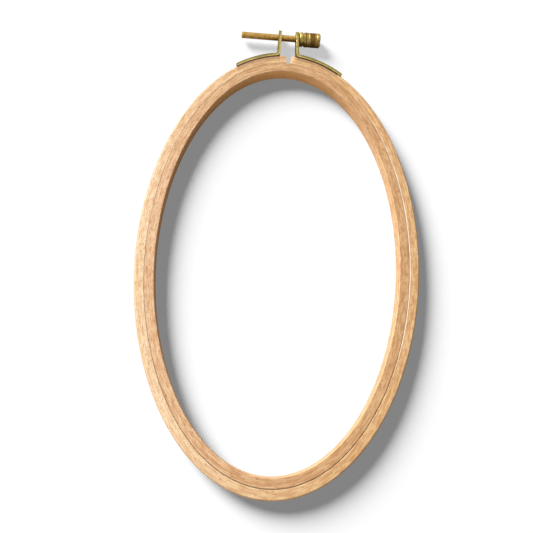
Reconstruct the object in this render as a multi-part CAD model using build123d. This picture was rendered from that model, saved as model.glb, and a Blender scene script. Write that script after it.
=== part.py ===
from build123d import *

import os
from math import asin, cos, hypot, radians, sin, sqrt, tan

# An oval wooden embroidery hoop. It lies flat, with Z up through the opening, Y along the oval
# towards the screw and X towards the knob. The origin is the oval's centre, on the face it rests on.
# All lengths are in millimetres.

# The outer ring: a bent strip, sawn through near the middle of the narrow end
half_length = 117.0
half_width = 72.8
ring_height = 8.0
outer_wall = 5.0
outer_rim_round = 1.0
outer_bore_ease = 0.5
split_at_outside = 3.0
split_at_inside = 2.1
split_centre_x = 0.3
slant_reach = 2.5
slant_drop = 1.2

# The inner ring: a closed strip, a little lower, that fits inside the outer one
inner_ring_drop = 0.2
ring_clearance = 0.25
inner_wall = 4.8
inner_rim_ease = 0.4

# Where the corners of an eased rim lie on its quarter round, which keeps the long faces few
rounded_rim_shares = (0, 0.5, 1)
flat_rim_shares = (0, 1)

# The brackets: one bent brass strip on each side of the split, its ear leaning in towards the other
strip_thickness = 1.6
strip_inset = 0.1
strip_seat = 0.1
bend_radius = 0.9
ear_spacing = 9.1
ear_lean = 1.8
knob_side_leg_reach = 29.5
far_side_leg_reach = 27.6

# The pins that hold each bracket's leg to the wood, placed as shares of the leg's reach past its ear
pin_radius = 0.6
pin_clearance = 0.05
pin_depth = 3.6
pin_head_radius = 1.1
pin_head_height = 0.45
pin_head_bevel = 0.3
pin_place_shares = (0.3, 0.72)

# The screw: a rod pressed into a turned knob
rod_radius = 1.75
screw_over_wood = 13.6
rod_past_ear = 20.6
rod_chamfer = 0.3
thread_clearance = 0.05
plain_hole_clearance = 0.1

# The knob, from the collar that bears on the leaning ear to its free end
collar_gap = 0.05
collar_radius = 3.9
collar_round = 1.2
collar_length = 2.3
neck_radius = 3.3
neck_length = 0.7
grip_radius = 3.95
grip_length = 9.1
grip_chamfer = 0.6
groove_width = 0.5
groove_depth = 0.2
groove_place_shares = (0.28, 0.79)
knob_bore_depth = 8.0

# One overrun serves every cut
overrun = 2.0

# Places that follow from the sizes above
middle_z = ring_height / 2
inner_height = ring_height - inner_ring_drop
strip_width = ring_height - 2 * strip_inset
seat_half_length = half_length + strip_seat
seat_half_width = half_width + strip_seat
ear_inner_x = ear_spacing / 2
ear_outer_x = ear_inner_x + strip_thickness
ear_foot_y = seat_half_length * sqrt(1 - (ear_inner_x / seat_half_width) ** 2)
screw_y = half_length + screw_over_wood
collar_face_radius = collar_radius - collar_round
lean_at_collar = (screw_over_wood - collar_face_radius) * tan(radians(ear_lean))
knob_x = ear_outer_x - lean_at_collar + collar_gap

BOTTOM = (Align.CENTER, Align.CENTER, Align.MIN)


def oval_band(reach_x, reach_y, wall, height):
    """A closed oval band on the rest plane. The reaches are those of its outside."""
    plan = Ellipse(reach_x, reach_y) - Ellipse(reach_x - wall, reach_y - wall)
    return extrude(plan, amount=height)


def eased_oval(reach_x, reach_y, full_height, change, corner_shares):
    """A solid oval on the rest plane, whose outline changes by this much round its two faces.

    A negative change eases the rims of a ring's outside, and a positive one those of its bore. The
    ease is a quarter round in flats, with its corners at these shares of the quarter.
    """
    rim = []
    for share in corner_shares:
        turn = radians(90 * share)
        rim.append((change * (1 - sin(turn)), abs(change) * (1 - cos(turn))))
    levels = rim + [(growth, full_height - height) for growth, height in reversed(rim)]
    outlines = [Pos(0, 0, height) * Ellipse(reach_x + growth, reach_y + growth) for growth, height in levels]
    return loft(outlines, ruled=True)


def plane_on_wood(place_x):
    """A plane at the middle of the wood's outside at this X, facing outward."""
    turn = asin(place_x / half_width)
    outward_x = half_length * sin(turn)
    outward_y = half_width * cos(turn)
    size = hypot(outward_x, outward_y)
    return Plane(
        origin=(place_x, half_length * cos(turn), middle_z),
        x_dir=(0, 0, 1),
        z_dir=(outward_x / size, outward_y / size, 0),
    )


def pin_planes(leg_reach):
    """The planes on the wood that the pins of a leg with this reach are driven through."""
    leg_span = leg_reach - ear_inner_x
    return [plane_on_wood(ear_inner_x + share * leg_span) for share in pin_place_shares]


def pin_holes(leg_reach):
    """The pin holes of a leg as solids to cut away, through the strip and into the wood."""
    depth = pin_depth + pin_clearance
    bit = Cylinder(pin_radius + pin_clearance, depth + strip_seat + strip_thickness + overrun, align=BOTTOM)
    return Part() + [plane.offset(-depth).location * bit for plane in pin_planes(leg_reach)]


def along_screw(radius, start_x, end_x):
    """A round bar on the screw's axis, between two places along it."""
    bar = extrude(Plane.YZ * Circle(radius), amount=end_x - start_x)
    return Pos(start_x, screw_y, middle_z) * bar


def away_from_knob(shape):
    """The same shape on the side away from the knob."""
    return mirror(shape, about=Plane.YZ)


def split_wedge():
    """The gap between the outer ring's ends, wider at the outside."""
    flare = (split_at_outside - split_at_inside) / outer_wall
    low_y = half_length - outer_wall - overrun
    high_y = half_length + overrun
    low_x = (split_at_inside - flare * overrun) / 2
    high_x = (split_at_outside + flare * overrun) / 2
    outline = Polyline(
        (-low_x, low_y), (low_x, low_y), (high_x, high_y), (-high_x, high_y), close=True
    )
    return Pos(split_centre_x, 0, 0) * extrude(make_face(outline), amount=ring_height)


def slanted_corner():
    """The top outer corner of the knob side's end, pared off at a slant."""
    outer_x = split_centre_x + split_at_outside / 2
    inner_x = split_centre_x + split_at_inside / 2
    inside = Vector(inner_x, half_length - outer_wall, ring_height)
    low = Vector(outer_x, half_length, ring_height - slant_drop)
    top = Vector(outer_x + slant_reach, half_length, ring_height)
    outward = (top - inside).cross(low - inside)
    reach = 2 * (outer_wall + ring_height)
    waste = Plane(origin=inside, z_dir=outward).location * Box(reach, reach, reach, align=BOTTOM)
    end = Box(
        top.X + overrun,
        outer_wall + 2 * overrun,
        ring_height + 2 * overrun,
        align=(Align.MIN, Align.MIN, Align.MIN),
    )
    return waste & Pos(0, inside.Y - overrun, -overrun) * end


def make_outer_ring():
    """The split ring: rounded rims, a sawn gap and the holes for the pins."""
    ring = eased_oval(half_width, half_length, ring_height, -outer_rim_round, rounded_rim_shares)
    bore_x = half_width - outer_wall
    bore_y = half_length - outer_wall
    ring -= eased_oval(bore_x, bore_y, ring_height, outer_bore_ease, flat_rim_shares)
    ring = ring - split_wedge() - slanted_corner()
    return ring - pin_holes(knob_side_leg_reach) - away_from_knob(pin_holes(far_side_leg_reach))


def make_inner_ring():
    """The closed ring, a little smaller all round than the outer ring's bore."""
    reach_x = half_width - outer_wall - ring_clearance
    reach_y = half_length - outer_wall - ring_clearance
    ring = eased_oval(reach_x, reach_y, inner_height, -inner_rim_ease, flat_rim_shares)
    bore_x = reach_x - inner_wall
    bore_y = reach_y - inner_wall
    return ring - eased_oval(bore_x, bore_y, inner_height, inner_rim_ease, flat_rim_shares)


def leaning(shape):
    """The shape turned about the foot of the ear, as far as the ear leans."""
    foot = Pos(ear_inner_x, ear_foot_y, 0)
    return foot * Rot(0, 0, ear_lean) * foot.inverse() * shape


def bracket_leg(leg_reach):
    """The part of the strip that lies on the wood, cut square at its free end."""
    leg = oval_band(
        seat_half_width + strip_thickness,
        seat_half_length + strip_thickness,
        strip_thickness,
        strip_width,
    )
    side = Box(half_width, 2 * screw_y, strip_width, align=(Align.MIN, Align.CENTER, Align.MIN))
    leg &= leaning(Pos(ear_inner_x, screw_y, 0) * side)
    leg = Pos(0, 0, strip_inset) * leg
    beyond = Box(
        ring_height, 2 * half_length, 2 * half_length, align=(Align.CENTER, Align.MIN, Align.CENTER)
    )
    return leg - plane_on_wood(leg_reach).location * beyond


def bracket_ear():
    """The round-ended ear that stands out from the wood and carries the screw."""
    side = Pos(screw_y, middle_z) * Circle(strip_width / 2)
    side += Pos(0, middle_z) * Rectangle(screw_y, strip_width, align=(Align.MIN, Align.CENTER))
    ear = leaning(Pos(ear_inner_x, 0, 0) * extrude(Plane.YZ * side, amount=strip_thickness))
    return ear - extrude(Ellipse(seat_half_width, seat_half_length), amount=ring_height)


def bend_edge_near(bracket, place_x, place_y):
    """The upright edge of the bend that lies nearest this place."""
    place = Vector(place_x, place_y, middle_z)
    return min(bracket.edges(), key=lambda edge: (edge.center() - place).length)


def make_bracket(hole_clearance, leg_reach):
    """The bracket on the knob's side, bent once, with a hole for the screw and two for the pins."""
    bracket = bracket_leg(leg_reach) + bracket_ear()
    foot = bend_edge_near(bracket, ear_inner_x, ear_foot_y)
    bracket = fillet(foot, bend_radius + strip_thickness)
    corner = bend_edge_near(bracket, ear_outer_x, ear_foot_y + strip_thickness)
    bracket = fillet(corner, bend_radius)
    bracket -= pin_holes(leg_reach)
    return bracket - along_screw(rod_radius + hole_clearance, 0, ear_outer_x + overrun)


def make_pins(leg_reach):
    """A leg's pins, each a low bevelled head on a shank that stops inside the wood."""
    seat = strip_seat + strip_thickness
    head = Cylinder(pin_head_radius, pin_head_height, align=BOTTOM)
    head = chamfer(head.edges().group_by(Axis.Z)[-1], pin_head_bevel)
    shank = Cylinder(pin_radius, pin_depth + seat, align=BOTTOM)
    pin = Pos(0, 0, -pin_depth) * shank + Pos(0, 0, seat) * head
    return Part() + [plane.location * pin for plane in pin_planes(leg_reach)]


def make_screw_rod():
    """The rod, from its free end past the threaded ear to the bottom of the knob's bore."""
    rod = along_screw(rod_radius, -ear_outer_x - rod_past_ear, knob_x + knob_bore_depth)
    return chamfer(rod.edges().group_by(Axis.X)[0], rod_chamfer)


def make_thumb_knob():
    """The turned knob: a rounded collar, a neck and a grip with two ring grooves."""
    grip_x = collar_length + neck_length
    end_x = grip_x + grip_length
    collar = [(knob_bore_depth, 0), (knob_bore_depth, rod_radius), (0, rod_radius)]
    collar += [(0, collar_face_radius)]
    grip = [(collar_round, collar_radius), (collar_length, collar_radius)]
    grip += [(collar_length, neck_radius), (grip_x, neck_radius), (grip_x, grip_radius)]
    for share in groove_place_shares:
        groove_x = grip_x + share * grip_length
        grip += [
            (groove_x - groove_width / 2, grip_radius),
            (groove_x, grip_radius - groove_depth),
            (groove_x + groove_width / 2, grip_radius),
        ]
    grip += [(end_x - grip_chamfer, grip_radius), (end_x, grip_radius - grip_chamfer), (end_x, 0)]
    round_centre = (collar_round, collar_face_radius)
    outline = Polyline(collar) + CenterArc(round_centre, collar_round, 180, -90)
    outline += Polyline(grip) + Line((end_x, 0), (knob_bore_depth, 0))
    knob = revolve(make_face(outline), axis=Axis.X)
    return Pos(knob_x, screw_y, middle_z) * knob


nodes = {
    "outer_ring": make_outer_ring(),
    "inner_ring": make_inner_ring(),
    "left_bracket": away_from_knob(make_bracket(thread_clearance, far_side_leg_reach)),
    "right_bracket": make_bracket(plain_hole_clearance, knob_side_leg_reach),
    "left_pins": away_from_knob(make_pins(far_side_leg_reach)),
    "right_pins": make_pins(knob_side_leg_reach),
    "screw_rod": make_screw_rod(),
    "thumb_knob": make_thumb_knob(),
}

os.makedirs("parts", exist_ok=True)
for name, shape in nodes.items():
    export_step(shape, f"parts/{name}.step")
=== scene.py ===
"""Looks of an oval beech embroidery hoop with a brass clamp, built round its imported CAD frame.

Lengths are metres, on the frame's own axes: Z is up through the opening, Y runs along the oval towards
the screw, and X runs along the screw towards its knob.
"""

import logging
from dataclasses import dataclass
from enum import Enum
from math import asin, atan2, cos, hypot, pi, radians, sin, tan, tau

import bmesh
import bpy
from mathutils import Matrix, Vector


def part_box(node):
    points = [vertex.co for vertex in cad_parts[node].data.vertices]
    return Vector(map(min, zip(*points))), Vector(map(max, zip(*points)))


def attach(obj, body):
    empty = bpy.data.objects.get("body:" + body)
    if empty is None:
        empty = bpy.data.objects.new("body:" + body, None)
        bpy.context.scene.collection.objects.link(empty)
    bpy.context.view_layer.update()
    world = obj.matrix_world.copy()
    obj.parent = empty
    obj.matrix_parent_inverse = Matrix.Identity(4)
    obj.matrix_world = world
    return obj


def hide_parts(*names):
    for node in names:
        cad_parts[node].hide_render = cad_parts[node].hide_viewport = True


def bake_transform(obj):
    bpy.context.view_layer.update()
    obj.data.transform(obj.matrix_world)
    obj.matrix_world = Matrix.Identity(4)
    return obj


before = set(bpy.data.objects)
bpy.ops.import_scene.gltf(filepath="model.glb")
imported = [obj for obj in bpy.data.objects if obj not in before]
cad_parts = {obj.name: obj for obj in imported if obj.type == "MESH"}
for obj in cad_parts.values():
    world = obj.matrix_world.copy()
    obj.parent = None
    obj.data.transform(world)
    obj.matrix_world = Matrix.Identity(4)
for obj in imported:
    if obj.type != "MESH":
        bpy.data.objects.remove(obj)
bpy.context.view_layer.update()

MM = 0.001
ORIGIN = (0.0, 0.0, 0.0)
WHITE = "#ffffff"
log = logging.getLogger("hoop")

# Points this close are one, and edges bent more than this are drawn sharp
MERGED_WITHIN = 0.001 * MM
SHARP_FROM = radians(38)

# A face counts as flat, or as upright, by the size of its normal's Z
FLAT_FROM = 0.97
UPRIGHT_TO = 0.03

# The inner ring is drawn nearly flush with the outer one, and a little smaller than its solid
INNER_RAISED = 0.12 * MM
INNER_SHRUNK = 0.08 * MM

# How the lamp's light falls across the screw, along Y and Z
LAMP_FALL = (0.82, 0.57)

# Where a soft step of a pattern starts, where it ends, and its largest share
Step = tuple[float, float, float]

# The size of a pattern's marks in three directions, in millimetres
Marks = tuple[float, float, float]


class Side(Enum):
    """The two sides of the split, by the sign of X there."""

    LEFT = -1
    RIGHT = 1

    @property
    def word(self) -> str:
        """The side's name in lower case, as it stands in node names."""
        return self.name.lower()


class Working(Enum):
    """How a brass piece was worked, by the spacing of its marks along X, Y and Z in millimetres."""

    ROLLED = (5.0, 5.0, 0.35)
    THREADED = (0.8, 0.5, 0.5)
    TURNED = (0.3, 4.0, 4.0)
    DRIVEN = (0.6, 0.6, 0.6)


def linear(colour: str) -> tuple[float, float, float, float]:
    """Turns an sRGB colour into the linear one that shaders take.

    Args:
        colour: Six hex digits after a hash sign.

    Returns:
        Red, green, blue and alpha.
    """
    values = [int(colour[start : start + 2], 16) / 255 for start in (1, 3, 5)]
    red, green, blue = (
        value / 12.92 if value <= 0.04045 else ((value + 0.055) / 1.055) ** 2.4 for value in values
    )
    return red, green, blue, 1.0


def add_node(
    tree: bpy.types.NodeTree,
    kind: str,
    settings: dict[str, object] | None = None,
    inputs: dict[str | int, object] | None = None,
) -> bpy.types.Node:
    """Adds a shader node with its settings, values and links.

    Args:
        tree: The node tree that it joins.
        kind: The node's type name.
        settings: Properties of the node, by name.
        inputs: Values or source sockets of its inputs, by name or place.

    Returns:
        The node.
    """
    node = tree.nodes.new(kind)
    for name, value in (settings or {}).items():
        setattr(node, name, value)
    for name, value in (inputs or {}).items():
        if isinstance(value, bpy.types.NodeSocket):
            tree.links.new(value, node.inputs[name])
        else:
            node.inputs[name].default_value = value
    return node


def new_material(name: str) -> bpy.types.Material:
    """Starts an empty material that uses nodes.

    Args:
        name: The material's name.

    Returns:
        The material.
    """
    material = bpy.data.materials.new(name)
    material.use_nodes = True
    material.node_tree.nodes.clear()
    return material


def clamped(value: float) -> float:
    """The value, kept between 0 and 1."""
    return min(1.0, max(0.0, value))


def calculated(tree: bpy.types.NodeTree, operation: str, *values: object) -> bpy.types.NodeSocket:
    """Adds one arithmetic step on sockets or numbers, such as ADD or COSINE, and returns its socket."""
    return add_node(tree, "ShaderNodeMath", {"operation": operation}, dict(enumerate(values))).outputs[0]


def colour_mix(
    tree: bpy.types.NodeTree, share: object, first: object, second: object
) -> bpy.types.NodeSocket:
    """Adds a mix of two colours, each a socket or a linear colour.

    Args:
        tree: The node tree that it joins.
        share: The second colour's share.
        first: The first colour.
        second: The second colour.

    Returns:
        The socket of the mixed colour.
    """
    mix = add_node(
        tree, "ShaderNodeMix", {"data_type": "RGBA"}, {"Factor": share, 6: first, 7: second}
    )
    return mix.outputs[2]


def soft_step(
    tree: bpy.types.NodeTree, value: bpy.types.NodeSocket, low: float, high: float, top: float
) -> bpy.types.NodeSocket:
    """Adds a soft step: nothing below the low value, and the top share above the high one.

    Args:
        tree: The node tree that it joins.
        value: The socket that it reads.
        low: The value up to which it gives nothing.
        high: The value from which it gives the top share.
        top: The largest share.

    Returns:
        The socket of the share.
    """
    step = add_node(
        tree, "ShaderNodeMapRange", {"interpolation_type": "SMOOTHSTEP"},
        {"Value": value, "From Min": low, "From Max": high, "To Min": 0.0, "To Max": top},
    )
    return step.outputs["Result"]


def noise_layer(
    tree: bpy.types.NodeTree, place: bpy.types.NodeSocket, marks: Marks, detail: float, roughness: float
) -> bpy.types.NodeSocket:
    """Adds one layer of noise.

    Args:
        tree: The material's node tree.
        place: The place that the noise reads, in metres.
        marks: The size of its marks in the place's three directions, in millimetres.
        detail: How many finer layers it has.
        roughness: How strong the finer layers are.

    Returns:
        The socket of the noise's value.
    """
    per_mark = tuple(1.0 / (length * MM) for length in marks)
    scaled = add_node(
        tree, "ShaderNodeMapping", {"vector_type": "POINT"}, {"Vector": place, "Scale": per_mark}
    )
    noise = add_node(
        tree, "ShaderNodeTexNoise", None,
        {"Vector": scaled.outputs["Vector"], "Scale": 1.0, "Detail": detail, "Roughness": roughness},
    )
    return noise.outputs["Fac"]


def read_attribute(tree: bpy.types.NodeTree, name: str, output: str = "Fac") -> bpy.types.NodeSocket:
    """Adds a node that reads a value which the mesh carries, and returns its socket."""
    return add_node(tree, "ShaderNodeAttribute", {"attribute_name": name}).outputs[output]


@dataclass(frozen=True)
class BeechFinish:
    """Steamed beech, bent and fine-sanded, left bare: a dull pale surface with fibres along the strip,
    short reddish ray flecks and a few longer brown streaks."""

    name: str
    pale: str
    deep: str
    fleck: str
    streak: str
    # The tanner, darker wood on the side away from the lamp is partly the wood's tone and partly painted
    # shade
    shaded_tan_pale: str
    shaded_tan_deep: str
    worn: str
    # Browner walls: the outer ring's outside, and painted shade on the bore where it faces away from the
    # lamp
    browner_wall: str
    shaded_tan_turn: float
    # Painted shade in the crease between the brass strips and the wood
    crease_shade: str = "#4e2714"
    # Painted shade on the bore where it faces furthest from the lamp
    brown: str = "#a0640c"
    rim: str = "#fff6ea"
    rim_highlight_share: float = 0.0
    shaded_tan_step: Step = (-1.0, 0.3, 1.0)
    grain_step: Step = (0.74, 1.26, 1.0)
    streak_step: Step = (0.62, 0.72, 0.4)
    fleck_step: Step = (0.59, 0.68, 0.6)
    worn_step: Step = (0.0, 1.0, 0.7)
    browner_wall_step: Step = (0.0, -1.0, 0.7)
    brown_step: Step = (-0.85, -1.4, 0.6)
    crease_shade_step: Step = (0.0, 1.0, 1.0)
    rim_inset_step: Step = (4.55 * MM, 4.75 * MM, 1.0)
    rim_lit_from: float = 0.5
    rim_lit_to: float = 0.9
    fibre: Marks = (16.0, 0.55, 0.55)
    flecks: Marks = (2.4, 0.5, 0.5)
    mottle: Marks = (4.5, 1.4, 1.4)
    streaks: Marks = (9.0, 1.5, 1.5)
    noise_roughness: float = 0.55
    roughness: float = 0.62
    ior: float = 1.5
    bump_depth: float = 0.03 * MM

    def material(self) -> bpy.types.Material:
        """Builds the material.

        Returns:
            Bare beech that reads the strip's own place attribute.
        """
        material = new_material(self.name)
        tree = material.node_tree
        place = read_attribute(tree, "grain", "Vector")
        fibre, flecks, mottle, streaks = (
            noise_layer(tree, place, marks, detail, self.noise_roughness)
            for marks, detail in (
                (self.fibre, 3.0), (self.flecks, 1.0), (self.mottle, 2.0), (self.streaks, 2.0),
            )
        )

        # The strip's tone drifts once round the oval from a pinker, lighter beech to a tanner, darker one:
        # partly the wood's own tone, and partly painted light and shade, lighter towards the lamp and
        # darker on the far side
        away = calculated(tree, "SUBTRACT", read_attribute(tree, "turn"), self.shaded_tan_turn)
        wave = calculated(tree, "COSINE", away)
        shaded_tanner = soft_step(tree, wave, *self.shaded_tan_step)
        pale = colour_mix(tree, shaded_tanner, linear(self.pale), linear(self.shaded_tan_pale))
        deep = colour_mix(tree, shaded_tanner, linear(self.deep), linear(self.shaded_tan_deep))

        shade = calculated(tree, "ADD", fibre, mottle)
        wood = colour_mix(tree, soft_step(tree, shade, *self.grain_step), pale, deep)

        # Streaks and flecks lie in the wood, and sanded rims are paler. The outer ring's outside is
        # browner all round, and the bore is painted browner where it faces away from the lamp, as painted
        # shade. The wood beside the brass has a dark line of painted shade.
        tone = read_attribute(tree, "tone")
        crease_shade = read_attribute(tree, "crease_shade")
        for value, step, colour in (
            (streaks, self.streak_step, self.streak),
            (flecks, self.fleck_step, self.fleck),
            (tone, self.worn_step, self.worn),
            (tone, self.browner_wall_step, self.browner_wall),
            (tone, self.brown_step, self.brown),
            (crease_shade, self.crease_shade_step, self.crease_shade),
        ):
            wood = colour_mix(tree, soft_step(tree, value, *step), wood, linear(colour))

        # A thin pale line is painted on the rim at the joint as a painted highlight, on the side that
        # faces the light
        inset = add_node(tree, "ShaderNodeSeparateXYZ", None, {"Vector": place}).outputs["Y"]
        at_rim = soft_step(tree, inset, *self.rim_inset_step)
        lit = soft_step(tree, wave, self.rim_lit_from, self.rim_lit_to, self.rim_highlight_share)
        wood = colour_mix(tree, calculated(tree, "MULTIPLY", at_rim, lit), wood, linear(self.rim))

        relief = calculated(tree, "SUBTRACT", fibre, flecks)
        bump = add_node(
            tree, "ShaderNodeBump", None,
            {"Height": relief, "Distance": self.bump_depth, "Strength": 1.0},
        )
        surface = add_node(
            tree, "ShaderNodeBsdfPrincipled", None,
            {"Base Color": wood, "Roughness": self.roughness, "IOR": self.ior,
             "Normal": bump.outputs["Normal"]},
        )
        add_node(tree, "ShaderNodeOutputMaterial", None, {"Surface": surface.outputs["BSDF"]})
        return material


@dataclass(frozen=True)
class BrassFinish:
    """Handled yellow brass, dulled to an olive gold, darker at grazing angles, and brown where grime and
    patina gather in its recesses, and as painted shade on the sides away from the lamp and on the strips'
    outer edges."""

    name: str
    body: str
    dulled: str
    patina_and_shade: str
    working: Working
    edge: str = "#6e5620"
    roughness: float = 0.36
    mark_depth: float = 0.006 * MM
    dulling: Marks = (2.6, 2.6, 2.6)
    dull_step: Step = (0.35, 0.65, 0.8)
    rough_from: float = 0.3
    rough_to: float = 0.7
    smoother: float = 0.06
    rougher: float = 0.1
    noise_detail: float = 3.0
    noise_roughness: float = 0.6

    def material(self) -> bpy.types.Material:
        """Builds the material.

        Returns:
            Brass that reads Object coordinates and the pieces' attribute of patina and painted shade.
        """
        material = new_material(self.name)
        tree = material.node_tree
        place = add_node(tree, "ShaderNodeTexCoord").outputs["Object"]
        dulling, marks = (
            noise_layer(tree, place, sizes, self.noise_detail, self.noise_roughness)
            for sizes in (self.dulling, self.working.value)
        )
        worn = soft_step(tree, dulling, *self.dull_step)
        metal = colour_mix(tree, worn, linear(self.body), linear(self.dulled))
        # One brown serves both the patina in recesses and the painted shade
        metal = colour_mix(tree, read_attribute(tree, "patina_and_shade"), metal, linear(self.patina_and_shade))
        rough = add_node(
            tree, "ShaderNodeMapRange", None,
            {"Value": dulling, "From Min": self.rough_from, "From Max": self.rough_to,
             "To Min": self.roughness - self.smoother, "To Max": self.roughness + self.rougher},
        )
        bump = add_node(
            tree, "ShaderNodeBump", None, {"Height": marks, "Distance": self.mark_depth, "Strength": 1.0}
        )
        surface = add_node(
            tree, "ShaderNodeBsdfPrincipled", None,
            {"Base Color": metal, "Metallic": 1.0, "Roughness": rough.outputs["Result"],
             "Specular Tint": linear(self.edge), "Normal": bump.outputs["Normal"]},
        )
        add_node(tree, "ShaderNodeOutputMaterial", None, {"Surface": surface.outputs["BSDF"]})
        return material


def add_piece(
    name: str, shape: bmesh.types.BMesh, finish: BeechFinish | BrassFinish
) -> bpy.types.Object:
    """Makes a finished object from a shape, at the origin.

    Args:
        name: The object's name.
        shape: The shape, which is freed.
        finish: What it is made of.

    Returns:
        The object.
    """
    mesh = bpy.data.meshes.new(name)
    shape.to_mesh(mesh)
    shape.free()
    mesh.materials.clear()
    mesh.materials.append(bpy.data.materials.get(finish.name) or finish.material())
    mesh.shade_smooth()
    mesh.set_sharp_from_angle(angle=SHARP_FROM)
    piece = bpy.data.objects.new(name, mesh)
    bpy.context.scene.collection.objects.link(piece)
    even = piece.modifiers.new("even_shading", "WEIGHTED_NORMAL")
    even.keep_sharp = True
    # The photograph's shadow is a plain grey, so the hoop throws no tinted light on the table
    piece.visible_diffuse = False
    log.info("%s: %d faces", name, len(mesh.polygons))
    return piece


def cut_away(shape: bmesh.types.BMesh, point: tuple, normal: tuple) -> None:
    """Cuts a closed shape by a plane, keeps the side that the normal points to, and closes the cut.

    Args:
        shape: The shape.
        point: A point on the plane.
        normal: The plane's normal.
    """
    parts = shape.verts[:] + shape.edges[:] + shape.faces[:]
    bmesh.ops.bisect_plane(shape, geom=parts, plane_co=point, plane_no=normal, clear_inner=True)
    rim = [edge for edge in shape.edges if edge.is_boundary]
    bmesh.ops.holes_fill(shape, edges=rim, sides=0)
    bmesh.ops.recalc_face_normals(shape, faces=shape.faces[:])


def turned_shape(profile: list[tuple[float, float]], steps: int) -> bmesh.types.BMesh:
    """Turns a profile round the X axis, as on a lathe.

    Args:
        profile: Places along the axis and radii, from one end to the other.
        steps: How many sides the shape has.

    Returns:
        The closed shape.
    """
    shape = bmesh.new()
    points = [shape.verts.new((along, radius, 0.0)) for along, radius in profile]
    lines = [shape.edges.new(pair) for pair in zip(points, points[1:])]
    bmesh.ops.spin(
        shape, geom=points + lines, cent=ORIGIN, axis=(1, 0, 0), dvec=ORIGIN, angle=tau, steps=steps,
        use_merge=True,
    )
    bmesh.ops.remove_doubles(shape, verts=shape.verts[:], dist=MERGED_WITHIN)
    bmesh.ops.recalc_face_normals(shape, faces=shape.faces[:])
    return shape


@dataclass
class OvalBand:
    """A closed oval band of bent wood that lies on the rest plane. Its tones are shares of paler wood
    above zero, and of browner wood below."""

    reach_x: float
    reach_y: float
    wall: float
    height: float
    rim_round: float
    bore_round: float
    joint_outside: bool
    outside_tone: float
    joint_tone: float = 0.1
    rim_tone: float = 0.35
    lit_tone: float = 0.0
    lit_turn: float = radians(100)
    lit_from: float = 0.55
    corner_from: float = radians(80)
    segments: int = 720
    round_steps: int = 4
    inset_rounds: int = 4

    def is_outside(self, point: Vector) -> bool:
        """Tells the outside of the band from its bore.

        Args:
            point: A point of the band.

        Returns:
            True where the point lies outside the middle of the wall.
        """
        middle_x = self.reach_x - self.wall / 2
        middle_y = self.reach_y - self.wall / 2
        return hypot(point.x / middle_x, point.y / middle_y) > 1

    def round_rims(self, shape: bmesh.types.BMesh, radius: float, outside: bool) -> None:
        """Rounds the two rims of the outside or of the bore.

        Args:
            shape: The band with these rims still sharp.
            radius: The round's size.
            outside: Which two rims to round.
        """
        rims = [
            edge
            for edge in shape.edges
            if edge.calc_face_angle(0) > self.corner_from and self.is_outside(edge.verts[0].co) == outside
        ]
        bmesh.ops.bevel(
            shape, geom=rims, offset=radius, offset_type="OFFSET", segments=self.round_steps,
            profile=0.5, affect="EDGES", material=-1,
        )

    def build(self) -> bmesh.types.BMesh:
        """Builds the band from two ovals, raised to its height.

        Returns:
            The closed shape.
        """
        shape = bmesh.new()
        for inset in (0.0, self.wall):
            oval = bmesh.ops.create_circle(shape, segments=self.segments, radius=1.0)
            reach = (self.reach_x - inset, self.reach_y - inset, 1.0)
            bmesh.ops.scale(shape, verts=oval["verts"], vec=reach)
        flat = bmesh.ops.bridge_loops(shape, edges=shape.edges[:])
        raised = bmesh.ops.extrude_face_region(shape, geom=flat["faces"])
        lifted = [part for part in raised["geom"] if isinstance(part, bmesh.types.BMVert)]
        bmesh.ops.translate(shape, verts=lifted, vec=(0.0, 0.0, self.height))
        bmesh.ops.recalc_face_normals(shape, faces=shape.faces[:])
        self.round_rims(shape, self.bore_round, outside=False)
        self.round_rims(shape, self.rim_round, outside=True)
        return shape

    def inset_of(self, point: Vector) -> float:
        """Finds how far a point lies inside the band's outside, by Newton's method.

        Args:
            point: The point, whose height is left out.

        Returns:
            The distance, below zero for a point outside the band.
        """
        inset = 0.0
        for _ in range(self.inset_rounds):
            along_x, along_y = self.reach_x - inset, self.reach_y - inset
            size = hypot(point.x / along_x, point.y / along_y)
            slope = (point.x**2 / along_x**3 + point.y**2 / along_y**3) / size
            inset += (1 - size) / slope
        return inset

    def tone_of(self, face: bmesh.types.BMFace, turn: float) -> float:
        """How much paler than the flat faces a face is, or browner where this is below zero.

        Args:
            face: The face.
            turn: Its angle from Y, towards X.

        Returns:
            The tone. The bore is painted browner, as painted shade, where it faces away from the lamp.
        """
        if abs(face.normal.z) > FLAT_FROM:
            return 0.0
        upright = abs(face.normal.z) < UPRIGHT_TO
        outside = self.is_outside(face.calc_center_median())
        if upright and outside == self.joint_outside:
            return self.joint_tone
        if outside:
            return self.outside_tone
        if not upright:
            return self.rim_tone
        # Painted shade: the bore turns browner the further it faces away from the lamp
        facing = cos(turn - self.lit_turn) - self.lit_from
        return self.lit_tone if facing > 0 else facing

    def mark_grain(self, shape: bmesh.types.BMesh, seam: float) -> None:
        """Writes each corner's place in the strip and its tone, which the wood's pattern reads.

        Args:
            shape: The finished band, or a length of it.
            seam: The angle from Y, towards X, at which the strip starts and ends.
        """
        grain = shape.loops.layers.float_vector.new("grain")
        around = shape.loops.layers.float.new("turn")
        tone = shape.loops.layers.float.new("tone")
        mean = (self.reach_x + self.reach_y) / 2
        for face in shape.faces:
            centre = face.calc_center_median()
            middle = (atan2(centre.x, centre.y) - seam) % tau
            face_tone = self.tone_of(face, middle + seam)
            for corner in face.loops:
                point = corner.vert.co
                turn = (atan2(point.x, point.y) - seam) % tau
                turn -= tau * round((turn - middle) / tau)
                corner[grain] = (turn * mean, self.inset_of(point), point.z)
                corner[around] = turn + seam
                corner[tone] = face_tone


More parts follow.
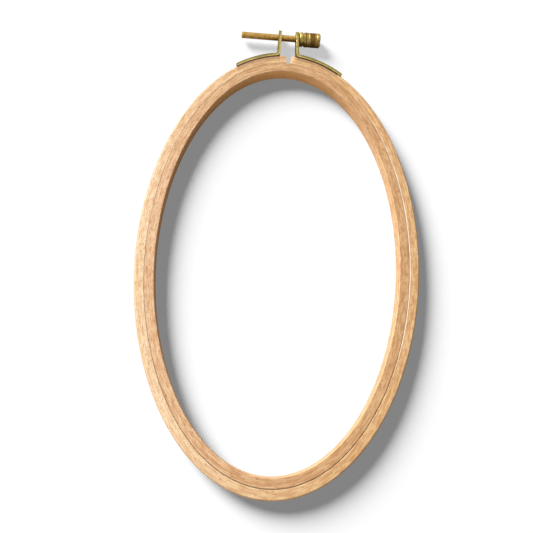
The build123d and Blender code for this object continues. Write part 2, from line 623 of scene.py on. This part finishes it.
@dataclass
class OuterRing:
    """The bent outer strip, in two lengths that meet opposite the split, so that one side can open."""

    band: OvalBand
    finish: BeechFinish
    split_outside: float = 3.0 * MM
    split_inside: float = 2.1 * MM
    split_centre: float = 0.3 * MM
    slant_reach: float = 2.5 * MM
    slant_drop: float = 1.2 * MM
    opens_fully_at: float = 0.9
    crease_shade_depth: float = 1.3 * MM
    crease_shade_strength: float = 2.0
    crease_shade_from: float = 4.5 * MM
    crease_shade_to: float = 28.0 * MM

    def cheek(self, side: Side) -> tuple[tuple, tuple]:
        """Gives the plane of the sawn end on one side.

        Args:
            side: The side of the split.

        Returns:
            A point on the plane, and its normal into the wood.
        """
        flare = (self.split_outside - self.split_inside) / 2
        point = (self.split_centre + side.value * self.split_outside / 2, self.band.reach_y, 0.0)
        return point, (side.value * self.band.wall, -flare, 0.0)

    def slanted_corner(self) -> tuple[Vector, Vector]:
        """Gives the plane that pares the top outer corner off the knob side's end.

        Returns:
            A point on the plane, and its normal into the wood.
        """
        height = self.band.height
        outer_x = self.split_centre + self.split_outside / 2
        inner_x = self.split_centre + self.split_inside / 2
        low = Vector((outer_x, self.band.reach_y, height - self.slant_drop))
        top = Vector((outer_x + self.slant_reach, self.band.reach_y, height))
        inside = Vector((inner_x, self.band.reach_y - self.band.wall, height))
        normal = (low - inside).cross(top - inside)
        return inside, normal if normal.z < 0 else -normal

    def mark_crease_shade(self, shape: bmesh.types.BMesh) -> None:
        """Writes a dark line of painted shade in the crease along the brass strips, as a share at each
        corner.

        Args:
            shape: The finished length of the ring.
        """
        crease_shade = shape.loops.layers.float.new("crease_shade")
        for face in shape.faces:
            for corner in face.loops:
                point = corner.vert.co
                # Painted shade: the wood's rounded rim under each brass strip is darkened
                beside = self.crease_shade_from < abs(point.x) < self.crease_shade_to and point.y > 0
                near = self.crease_shade_strength * (1 - self.band.inset_of(point) / self.crease_shade_depth)
                corner[crease_shade] = clamped(near) if beside else 0.0

    def build(self, side: Side) -> bpy.types.Object:
        """Builds the length of the ring on one side of the split.

        Args:
            side: The side.

        Returns:
            The piece. The knob side's end has a slanted corner that shows from above.
        """
        shape = self.band.build()
        cut_away(shape, ORIGIN, (side.value, 0.0, 0.0))
        cut_away(shape, *self.cheek(side))
        if side is Side.RIGHT:
            cut_away(shape, *self.slanted_corner())
        self.band.mark_grain(shape, seam=0.0)
        self.mark_crease_shade(shape)
        piece = add_piece(f"outer_ring_{side.word}", shape, self.finish)
        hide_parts("outer_ring")
        if side is Side.RIGHT:
            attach(piece, "hoop")
        else:
            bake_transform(piece)
        return piece


@dataclass
class InnerRing:
    """The closed inner strip, drawn nearly flush with the outer one. It sits against that one at the
    screw's end on the left, so the joint closes there and stays open on the far side."""

    band: OvalBand
    finish: BeechFinish
    pushed: tuple[float, float, float] = (-0.15 * MM, 0.26 * MM, 0.0)
    scarf_at: float = radians(278)

    def build(self) -> bpy.types.Object:
        """Builds the ring in its place.

        Returns:
            The piece.
        """
        shape = self.band.build()
        self.band.mark_grain(shape, self.scarf_at)
        bmesh.ops.translate(shape, verts=shape.verts[:], vec=self.pushed)
        piece = add_piece("inner_ring_strip", shape, self.finish)
        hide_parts("inner_ring")
        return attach(piece, "inner_ring")


@dataclass
class Bracket:
    """A bent brass strip, its leg pinned to the wood and its ear standing out to carry the screw."""

    side: Side
    body: str
    finish: BrassFinish
    seat: OvalBand
    edge_round: float = 0.25 * MM
    round_steps: int = 3
    flat_within: float = radians(0.5)
    corner_from: float = radians(50)
    thickness: float = 1.6 * MM
    ear_x: float = 4.55 * MM
    ear_lean: float = radians(1.8)
    outer_shade_share: float = 0.75

    def mark_outer_shade(self, shape: bmesh.types.BMesh) -> None:
        """Writes painted shade on the strip, from bright beside the wood to olive at the outside.

        Args:
            shape: The finished strip.
        """
        patina_and_shade = shape.verts.layers.float.new("patina_and_shade")
        for point in shape.verts:
            over_wood = -self.seat.inset_of(point.co)
            ear_here = self.ear_x - (point.co.y - self.seat.reach_y) * tan(self.ear_lean)
            depth = min(over_wood, abs(point.co.x) - ear_here) / self.thickness
            # Painted shade: the strip darkens towards its outer edge, away from the wood
            point[patina_and_shade] = self.outer_shade_share * clamped(depth)

    def build(self) -> bpy.types.Object:
        """Builds the strip from the frame's own bracket, with its sheared edges rounded.

        Returns:
            The piece.
        """
        node = f"{self.side.word}_bracket"
        shape = bmesh.new()
        shape.from_mesh(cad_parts[node].data)
        bmesh.ops.remove_doubles(shape, verts=shape.verts[:], dist=MERGED_WITHIN)
        bmesh.ops.dissolve_limit(
            shape, angle_limit=self.flat_within, verts=shape.verts[:], edges=shape.edges[:]
        )
        edges = [edge for edge in shape.edges if edge.calc_face_angle(0) > self.corner_from]
        bmesh.ops.bevel(
            shape, geom=edges, offset=self.edge_round, offset_type="OFFSET", segments=self.round_steps,
            profile=0.5, affect="EDGES", material=-1, clamp_overlap=True,
        )
        self.mark_outer_shade(shape)
        piece = add_piece(f"{self.side.word}_bracket_strip", shape, self.finish)
        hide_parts(node)
        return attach(piece, self.body)


@dataclass
class Pins:
    """The two domed pins through a bracket's leg."""

    side: Side
    body: str
    finish: BrassFinish
    leg_reach: float
    wood_reach_x: float
    wood_reach_y: float
    middle_z: float
    seat: float = 1.7 * MM
    ear_x: float = 4.55 * MM
    place_shares: tuple[float, float] = (0.3, 0.72)
    head_radius: float = 1.1 * MM
    head_height: float = 0.45 * MM
    shank_radius: float = 0.6 * MM
    shank_depth: float = 3.6 * MM
    dome_steps: int = 6
    sides: int = 40

    def profile(self) -> list[tuple[float, float]]:
        """Draws the pin's outline.

        Returns:
            Places along the pin and radii, from the end of its shank to the top of its dome.
        """
        outline = [(-self.shank_depth, 0.0), (-self.shank_depth, self.shank_radius)]
        outline += [(self.seat, self.shank_radius), (self.seat, self.head_radius)]
        for step in range(1, self.dome_steps + 1):
            turn = pi / 2 * step / self.dome_steps
            outline.append((self.seat + self.head_height * sin(turn), self.head_radius * cos(turn)))
        return outline

    def build(self) -> bpy.types.Object:
        """Builds both pins, square to the wood at their places.

        Returns:
            The piece.
        """
        shape = bmesh.new()
        for share in self.place_shares:
            place_x = self.ear_x + share * (self.leg_reach - self.ear_x)
            turn = asin(place_x / self.wood_reach_x)
            outward = Vector((self.wood_reach_y * sin(turn), self.wood_reach_x * cos(turn), 0.0))
            outward.normalize()
            place = Vector((place_x, self.wood_reach_y * cos(turn), self.middle_z))
            pin = turned_shape(self.profile(), self.sides)
            square = Vector((1, 0, 0)).rotation_difference(outward).to_matrix().to_4x4()
            bmesh.ops.transform(pin, matrix=Matrix.Translation(place) @ square, verts=pin.verts[:])
            kept = bpy.data.meshes.new("pin")
            pin.to_mesh(kept)
            pin.free()
            shape.from_mesh(kept)
            bpy.data.meshes.remove(kept)
        if self.side is Side.LEFT:
            bmesh.ops.scale(shape, verts=shape.verts[:], vec=(-1.0, 1.0, 1.0))
            bmesh.ops.recalc_face_normals(shape, faces=shape.faces[:])
        piece = add_piece(f"{self.side.word}_pin_heads", shape, self.finish)
        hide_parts(f"{self.side.word}_pins")
        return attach(piece, self.body)


def underside(point: Vector, axis_y: float, axis_z: float) -> float:
    """Finds how far a point of the screw looks away from the lamp, and down.

    Args:
        point: The point.
        axis_y: The screw's axis, along Y.
        axis_z: Its height.

    Returns:
        About 1 where the point looks straight away from the lamp, and -1 where it faces it.
    """
    across, up = point.y - axis_y, point.z - axis_z
    size = hypot(across, up)
    return -(LAMP_FALL[0] * across + LAMP_FALL[1] * up) / size if size > 0 else 0.0


@dataclass
class ScrewRod:
    """The threaded rod: a right-hand M3.5 thread from end to end."""

    finish: BrassFinish
    start_x: float
    end_x: float
    axis_y: float
    axis_z: float
    radius: float
    pitch: float = 0.6 * MM
    thread_depth: float = 0.18 * MM
    crest_share: float = 0.45
    end_ease: float = 0.1 * MM
    between_ears_reach: float = 4.3 * MM
    between_ears_shade: float = 0.9
    outside_ears_shade: float = 0.45
    root_dirt: float = 0.6
    underside_shade_from: float = -0.3
    merged_within: float = 0.002 * MM
    spare_turns: int = 2
    steps: int = 28

    def build(self) -> bpy.types.Object:
        """Builds the rod from one pitch of thread, wound along it and cut off square at both ends.

        Returns:
            The piece.
        """
        shape = bmesh.new()
        patina_and_shade = shape.verts.layers.float.new("patina_and_shade")
        root = self.radius - self.thread_depth
        flank = (1 - self.crest_share) / 2
        outline = [(0.0, root), (flank, self.radius), (flank + self.crest_share, self.radius), (1.0, root)]
        turns = round((self.end_x - self.start_x) / self.pitch) + self.spare_turns
        points = []
        for share, radius in outline:
            point = shape.verts.new((self.start_x + (share - 1) * self.pitch, radius, 0.0))
            point[patina_and_shade] = 1.0 if radius == root else 0.0
            points.append(point)
        lines = [shape.edges.new(pair) for pair in zip(points, points[1:])]
        bmesh.ops.spin(
            shape, geom=points + lines, cent=ORIGIN, axis=(1, 0, 0), angle=tau * turns,
            dvec=(self.pitch / self.steps, 0.0, 0.0), steps=self.steps * turns, use_merge=False,
        )
        bmesh.ops.remove_doubles(shape, verts=shape.verts[:], dist=self.merged_within)
        cut_away(shape, (self.start_x, 0.0, 0.0), (1.0, 0.0, 0.0))
        cut_away(shape, (self.end_x, 0.0, 0.0), (-1.0, 0.0, 0.0))
        for point in shape.verts:
            limit = root - self.end_ease + (point.co.x - self.start_x)
            size = hypot(point.co.y, point.co.z)
            if size > limit:
                point.co.y *= limit / size
                point.co.z *= limit / size
        bmesh.ops.translate(shape, verts=shape.verts[:], vec=(0.0, self.axis_y, self.axis_z))
        # Painted shade: the rod is browner on its side away from the lamp and underneath, most between the
        # ears, over the patina kept in its thread's roots
        for point in shape.verts:
            low = underside(point.co, self.axis_y, self.axis_z)
            underside_shade = self.between_ears_shade if abs(point.co.x) < self.between_ears_reach else self.outside_ears_shade
            point[patina_and_shade] = max(self.root_dirt * point[patina_and_shade], underside_shade * clamped(low - self.underside_shade_from))
        piece = add_piece("screw_thread", shape, self.finish)
        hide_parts("screw_rod")
        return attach(piece, "screw")


@dataclass
class ThumbKnob:
    """The turned knob: a domed collar at the ear, a neck, and a grip with diamond knurling between
    bright turned rings."""

    finish: BrassFinish
    start_x: float
    end_x: float
    axis_y: float
    axis_z: float
    collar_radius: float = 3.9 * MM
    collar_round: float = 1.2 * MM
    collar_length: float = 2.3 * MM
    collar_ease: float = 0.2 * MM
    collar_steps: int = 6
    neck_radius: float = 3.3 * MM
    grip_start: float = 3.0 * MM
    grip_radius: float = 3.95 * MM
    grip_ease: float = 0.1 * MM
    end_chamfer: float = 0.6 * MM
    ring_width: float = 0.3 * MM
    groove_depth: float = 0.22 * MM
    groove_places: tuple[float, float] = (5.55 * MM, 10.19 * MM)
    knurl_depth: float = 0.12 * MM
    knurl_step: float = 0.42 * MM
    underside_shade: float = 0.9
    underside_shade_rise: float = 1.4
    underside_shade_least: float = 0.3
    sides: int = 60

    def knurled_bands(self) -> list[tuple[float, float]]:
        """Places the knurled bands between the turned rings.

        Returns:
            Where each band starts and ends, from the knob's collar end.
        """
        length = self.end_x - self.start_x
        stops = [self.grip_start, *self.groove_places, length - self.end_chamfer]
        inset = 2 * self.ring_width
        return [(start + inset, end - inset) for start, end in zip(stops, stops[1:])]

    def profile(self) -> tuple[list[tuple[float, float]], list[float]]:
        """Draws the knob's outline.

        Returns:
            The outline, and the places along it whose points the knurling moves.
        """
        length = self.end_x - self.start_x
        outline = [(0.0, 0.0), (0.0, self.collar_radius - self.collar_round)]
        for step in range(1, self.collar_steps + 1):
            turn = pi / 2 * step / self.collar_steps
            along = self.collar_round * (1 - cos(turn))
            outline.append((along, self.collar_radius - self.collar_round * (1 - sin(turn))))
        outline += [(self.collar_length - self.collar_ease, self.collar_radius)]
        outline += [(self.collar_length, self.collar_radius - self.collar_ease)]
        outline += [(self.collar_length, self.neck_radius), (self.grip_start, self.neck_radius)]
        outline += [(self.grip_start, self.grip_radius - self.grip_ease)]
        outline += [(self.grip_start + self.grip_ease, self.grip_radius)]
        knurled = []
        for number, (start, end) in enumerate(self.knurled_bands()):
            if number > 0:
                middle = self.groove_places[number - 1]
                outline += [(middle - self.ring_width, self.grip_radius)]
                outline += [(middle, self.grip_radius - self.groove_depth)]
                outline += [(middle + self.ring_width, self.grip_radius)]
            rows = max(2, round((end - start) / self.knurl_step))
            places = [start + (end - start) * row / rows for row in range(rows + 1)]
            outline += [(place, self.grip_radius) for place in places]
            knurled += places[1:-1]
        outline += [(length - self.end_chamfer, self.grip_radius)]
        outline += [(length, self.grip_radius - self.end_chamfer), (length, 0.0)]
        return outline, knurled

    def build(self) -> bpy.types.Object:
        """Builds the knob, and presses the knurling in by sinking every second point of its grip.

        Returns:
            The piece.
        """
        outline, knurled = self.profile()
        shape = turned_shape(outline, self.sides)
        patina_and_shade = shape.verts.layers.float.new("patina_and_shade")
        rows = {round(place / MM, 4): number for number, place in enumerate(knurled)}
        sunk = []
        for point in shape.verts:
            row = rows.get(round(point.co.x / MM, 4))
            if row is None:
                continue
            column = round(atan2(point.co.z, point.co.y) / tau * self.sides)
            if (row + column) % 2:
                size = hypot(point.co.y, point.co.z)
                point.co.y *= 1 - self.knurl_depth / size
                point.co.z *= 1 - self.knurl_depth / size
                point[patina_and_shade] = 1.0
                sunk.append(point)
        bmesh.ops.connect_verts(shape, verts=sunk)
        bmesh.ops.translate(shape, verts=shape.verts[:], vec=(self.start_x, self.axis_y, self.axis_z))
        # Painted shade: the knob is browner on its side away from the lamp and underneath, over the patina
        # in its knurling
        for point in shape.verts:
            low = underside(point.co, self.axis_y, self.axis_z)
            underside_shade = self.underside_shade * clamped(self.underside_shade_rise * low - self.underside_shade_least)
            point[patina_and_shade] = max(point[patina_and_shade], underside_shade)
        piece = add_piece("knurled_knob", shape, self.finish)
        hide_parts("thumb_knob")
        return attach(piece, "screw")


@dataclass
class Studio:
    """A white table under a soft lamp at the upper left, a weak front lamp that lights the hoop alone,
    and the camera of the photograph."""

    floor_reach: float = 1.5
    lamp_height: float = radians(27.8)
    lamp_turn: float = radians(136)
    lamp_spread: float = radians(28)
    lamp_strength: float = 5.33
    lamp_past_clamp: float = 0.4
    front_height: float = radians(12)
    front_turn: float = radians(-138)
    front_spread: float = radians(30)
    front_strength: float = 0.95
    sky_strength: float = 0.218
    sky_colour: str = WHITE
    floor_colour: str = "#e4e4e4"
    floor_glow: float = 0.01
    camera_tip: float = radians(-14.50)
    camera_lean: float = radians(2.88)
    camera_roll: float = radians(-3.61)
    oval_in_view: tuple[float, float, float] = (5.97 * MM, 2.75 * MM, -313.6 * MM)
    lens_pixels: float = 600.0
    photo_pixels: int = 533
    sensor: float = 36.0
    nearest_seen: float = 1.0 * MM

    def shown_white(self, tree: bpy.types.NodeTree) -> bpy.types.NodeSocket:
        """Adds a test for what the camera sees.

        Args:
            tree: The node tree that it joins.

        Returns:
            A socket that is 1 for what is seen directly, in a reflection or through glass.
        """
        path = add_node(tree, "ShaderNodeLightPath").outputs
        direct = calculated(tree, "MAXIMUM", path["Is Camera Ray"], path["Is Glossy Ray"])
        return calculated(tree, "MAXIMUM", direct, path["Is Transmission Ray"])

    def light_sky(self) -> None:
        """Makes the even light of the room, white where it is seen."""
        world = bpy.data.worlds.new("white_room")
        world.use_nodes = True
        tree = world.node_tree
        tree.nodes.clear()
        strength = add_node(
            tree, "ShaderNodeMapRange", None,
            {"Value": self.shown_white(tree), "To Min": self.sky_strength, "To Max": 1.0},
        )
        colour = colour_mix(tree, self.shown_white(tree), linear(self.sky_colour), linear(WHITE))
        sky = add_node(
            tree, "ShaderNodeBackground", None,
            {"Color": colour, "Strength": strength.outputs["Result"]},
        )
        add_node(tree, "ShaderNodeOutputWorld", None, {"Surface": sky.outputs["Background"]})
        bpy.context.scene.world = world

    def hang_lamp(
        self, name: str, height: float, turn: float, spread: float, strength: float
    ) -> bpy.types.Object:
        """Hangs a far lamp.

        Args:
            name: The lamp's name.
            height: Its angle over the table.
            turn: Its direction, as an angle from X towards Y.
            spread: How wide it looks from the table.
            strength: Its light on a surface that faces it.

        Returns:
            The lamp.
        """
        lamp = bpy.data.lights.new(name, "SUN")
        lamp.energy = strength
        lamp.angle = spread
        holder = bpy.data.objects.new(name, lamp)
        towards = Vector((cos(height) * cos(turn), cos(height) * sin(turn), sin(height)))
        holder.rotation_euler = towards.to_track_quat("Z", "Y").to_euler()
        bpy.context.scene.collection.objects.link(holder)
        return holder

    def light_past(self, lamp: bpy.types.Object, pieces: list[bpy.types.Object]) -> None:
        """Lets a lamp's light through some pieces, so that they keep only the other lamps' shadows.

        Args:
            lamp: The lamp.
            pieces: The pieces that don't stop its light.
        """
        passed = bpy.data.collections.new("light_passes")
        for piece in pieces:
            passed.objects.link(piece)
        for item in passed.collection_objects:
            item.light_linking.link_state = "EXCLUDE"
        lamp.light_linking.blocker_collection = passed

    def light_only(self, lamp: bpy.types.Object, pieces: list[bpy.types.Object]) -> None:
        """Keeps a lamp's light on some pieces, so that it throws no shadow on the table.

        Args:
            lamp: The lamp.
            pieces: The pieces that it lights.
        """
        lit = bpy.data.collections.new("lit_pieces")
        for piece in pieces:
            lit.objects.link(piece)
        lamp.light_linking.receiver_collection = lit

    def lay_floor(self) -> None:
        """Lays the white table that keeps the hoop's shadow."""
        shape = bmesh.new()
        bmesh.ops.create_grid(shape, x_segments=1, y_segments=1, size=self.floor_reach)
        mesh = bpy.data.meshes.new("table")
        shape.to_mesh(mesh)
        shape.free()
        material = new_material("white_matt_table")
        tree = material.node_tree
        colour = colour_mix(tree, self.shown_white(tree), linear(self.floor_colour), linear(WHITE))
        matt = add_node(tree, "ShaderNodeBsdfDiffuse", None, {"Color": colour})
        strength = calculated(tree, "MULTIPLY", self.shown_white(tree), self.floor_glow)
        glow = add_node(tree, "ShaderNodeEmission", None, {"Strength": strength})
        both = add_node(
            tree, "ShaderNodeAddShader", None, {0: matt.outputs["BSDF"], 1: glow.outputs["Emission"]}
        )
        add_node(tree, "ShaderNodeOutputMaterial", None, {"Surface": both.outputs["Shader"]})
        mesh.materials.append(material)
        table = bpy.data.objects.new("table", mesh)
        bpy.context.scene.collection.objects.link(table)

    def place_camera(self) -> None:
        """Places the camera where the photograph was taken from."""
        lens = bpy.data.cameras.new("camera")
        lens.sensor_width = self.sensor
        lens.lens = self.lens_pixels * self.sensor / self.photo_pixels
        lens.clip_start = self.nearest_seen
        holder = bpy.data.objects.new("camera", lens)
        turned = (
            Matrix.Rotation(self.camera_roll, 4, "Z")
            @ Matrix.Rotation(self.camera_lean, 4, "Y")
            @ Matrix.Rotation(self.camera_tip, 4, "X")
        )
        holder.matrix_world = (Matrix.Translation(self.oval_in_view) @ turned).inverted()
        bpy.context.scene.collection.objects.link(holder)
        bpy.context.scene.camera = holder

    def build(
        self, rings: list[bpy.types.Object], clamp: list[bpy.types.Object], knob: bpy.types.Object
    ) -> None:
        """Sets the whole stage and the plain view transform.

        Args:
            rings: The wooden pieces.
            clamp: The thin pieces of the clamp, whose shadow is lighter than the rings' in the photograph.
            knob: The knob, whose shadow is as light, and which the front lamp leaves alone.
        """
        bpy.context.scene.view_settings.view_transform = "Standard"
        self.light_sky()
        past = self.lamp_past_clamp * self.lamp_strength
        broad = (self.lamp_height, self.lamp_turn, self.lamp_spread)
        self.hang_lamp("broad_lamp", *broad, self.lamp_strength - past)
        self.light_past(self.hang_lamp("broad_lamp_past_clamp", *broad, past), [*clamp, knob])
        front = (self.front_height, self.front_turn, self.front_spread, self.front_strength)
        self.light_only(self.hang_lamp("front_lamp", *front), [*rings, *clamp])
        self.lay_floor()
        self.place_camera()


def main() -> None:
    """Builds the hoop's pieces on the frame, and the stage."""
    logging.basicConfig(level=logging.INFO, format="%(name)s: %(message)s")
    outer_beech = BeechFinish(
        name="outer_bent_beech", pale="#fbdcb5", deep="#e4b98a", fleck="#a86e48", streak="#b98552",
        shaded_tan_pale="#e8bf8a", shaded_tan_deep="#c7935e", worn="#f8e2c4", browner_wall="#c28f5c",
        shaded_tan_turn=radians(80), rim_highlight_share=0.4,
    )
    inner_beech = BeechFinish(
        name="inner_bent_beech", pale="#f0c99e", deep="#d6a274", fleck="#9e623e", streak="#a97443",
        shaded_tan_pale="#dcb07f", shaded_tan_deep="#ba8856", worn="#f6dcbe", browner_wall="#eea24e",
        shaded_tan_turn=radians(80),
    )
    strip_brass = BrassFinish("rolled_strip_brass", "#d2c07c", "#a8944c", "#54461a", Working.ROLLED)
    pin_brass = BrassFinish("driven_pin_brass", "#bca868", "#8c763a", "#4a2c14", Working.DRIVEN)
    rod_brass = BrassFinish("rolled_thread_brass", "#e2c074", "#b08c42", "#6a3410", Working.THREADED)
    knob_brass = BrassFinish(
        "turned_knob_brass", "#b29a5a", "#80682a", "#4e3010", Working.TURNED, roughness=0.5
    )

    low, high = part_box("outer_ring")
    height = high.z
    outer_band = OvalBand(
        reach_x=min(high.x, -low.x), reach_y=-low.y, wall=5.0 * MM, height=height,
        rim_round=1.0 * MM, bore_round=0.12 * MM, joint_outside=False, outside_tone=-0.8,
    )
    outer_ring = OuterRing(outer_band, outer_beech)
    rings = [outer_ring.build(side) for side in Side]
    inner_low, inner_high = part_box("inner_ring")
    inner_band = OvalBand(
        reach_x=min(inner_high.x, -inner_low.x) - INNER_SHRUNK, reach_y=inner_high.y - INNER_SHRUNK,
        wall=4.8 * MM, height=inner_high.z + INNER_RAISED,
        rim_round=0.12 * MM, bore_round=0.3 * MM, joint_outside=True, outside_tone=0.3,
    )
    rings.append(InnerRing(inner_band, inner_beech).build())

    clamp = []
    for side, body, leg_reach in ((Side.LEFT, "left_end", 27.6 * MM), (Side.RIGHT, "hoop", 29.5 * MM)):
        clamp.append(Bracket(side, body, strip_brass, outer_band).build())
        Pins(side, body, pin_brass, leg_reach, outer_band.reach_x, outer_band.reach_y, height / 2).build()

    rod_low, rod_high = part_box("screw_rod")
    axis = (rod_low + rod_high) / 2
    rod = ScrewRod(rod_brass, rod_low.x, rod_high.x, axis.y, axis.z, (rod_high.y - rod_low.y) / 2)
    clamp.append(rod.build())
    knob_low, knob_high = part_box("thumb_knob")
    knob = ThumbKnob(knob_brass, knob_low.x, knob_high.x, axis.y, axis.z).build()

    Studio().build(rings, clamp, knob)


if __name__ == "__main__":
    main()
